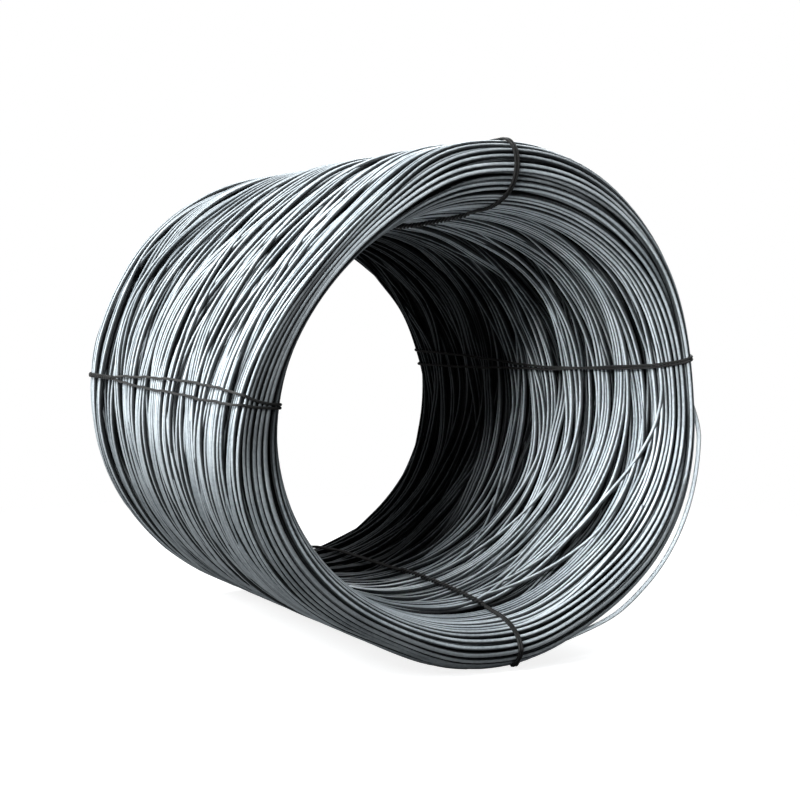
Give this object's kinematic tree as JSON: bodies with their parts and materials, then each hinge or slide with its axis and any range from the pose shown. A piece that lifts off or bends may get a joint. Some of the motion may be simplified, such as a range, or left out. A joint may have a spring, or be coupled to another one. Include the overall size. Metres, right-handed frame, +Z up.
{
  "type": "coil of wire rod",
  "caption": "Thick-walled coil of bare steel wire rod lying on its side, its turns bunched round a wide bore and held by doubled wire ties.",
  "frame": {"origin": "middle of the coil's underside on the floor, under the middle of its bounding box", "axes": "+Y along the coil's axis from the front end to the back end, +Z up, +X to the right seen from the front end"},
  "size_m": [1.226, 1.3158, 1.238],
  "materials": {
    "rod_steel": "bare hot-rolled rod, blue-grey mill scale, satin",
    "tie_steel": "dark annealed tie wire, satin"
  },
  "bodies": {
    "root": {"wire_coil": "rod_steel", "tie_top": "tie_steel", "tie_left": "tie_steel", "tie_bottom": "tie_steel", "tie_right": "tie_steel"}
  },
  "joints": []
}
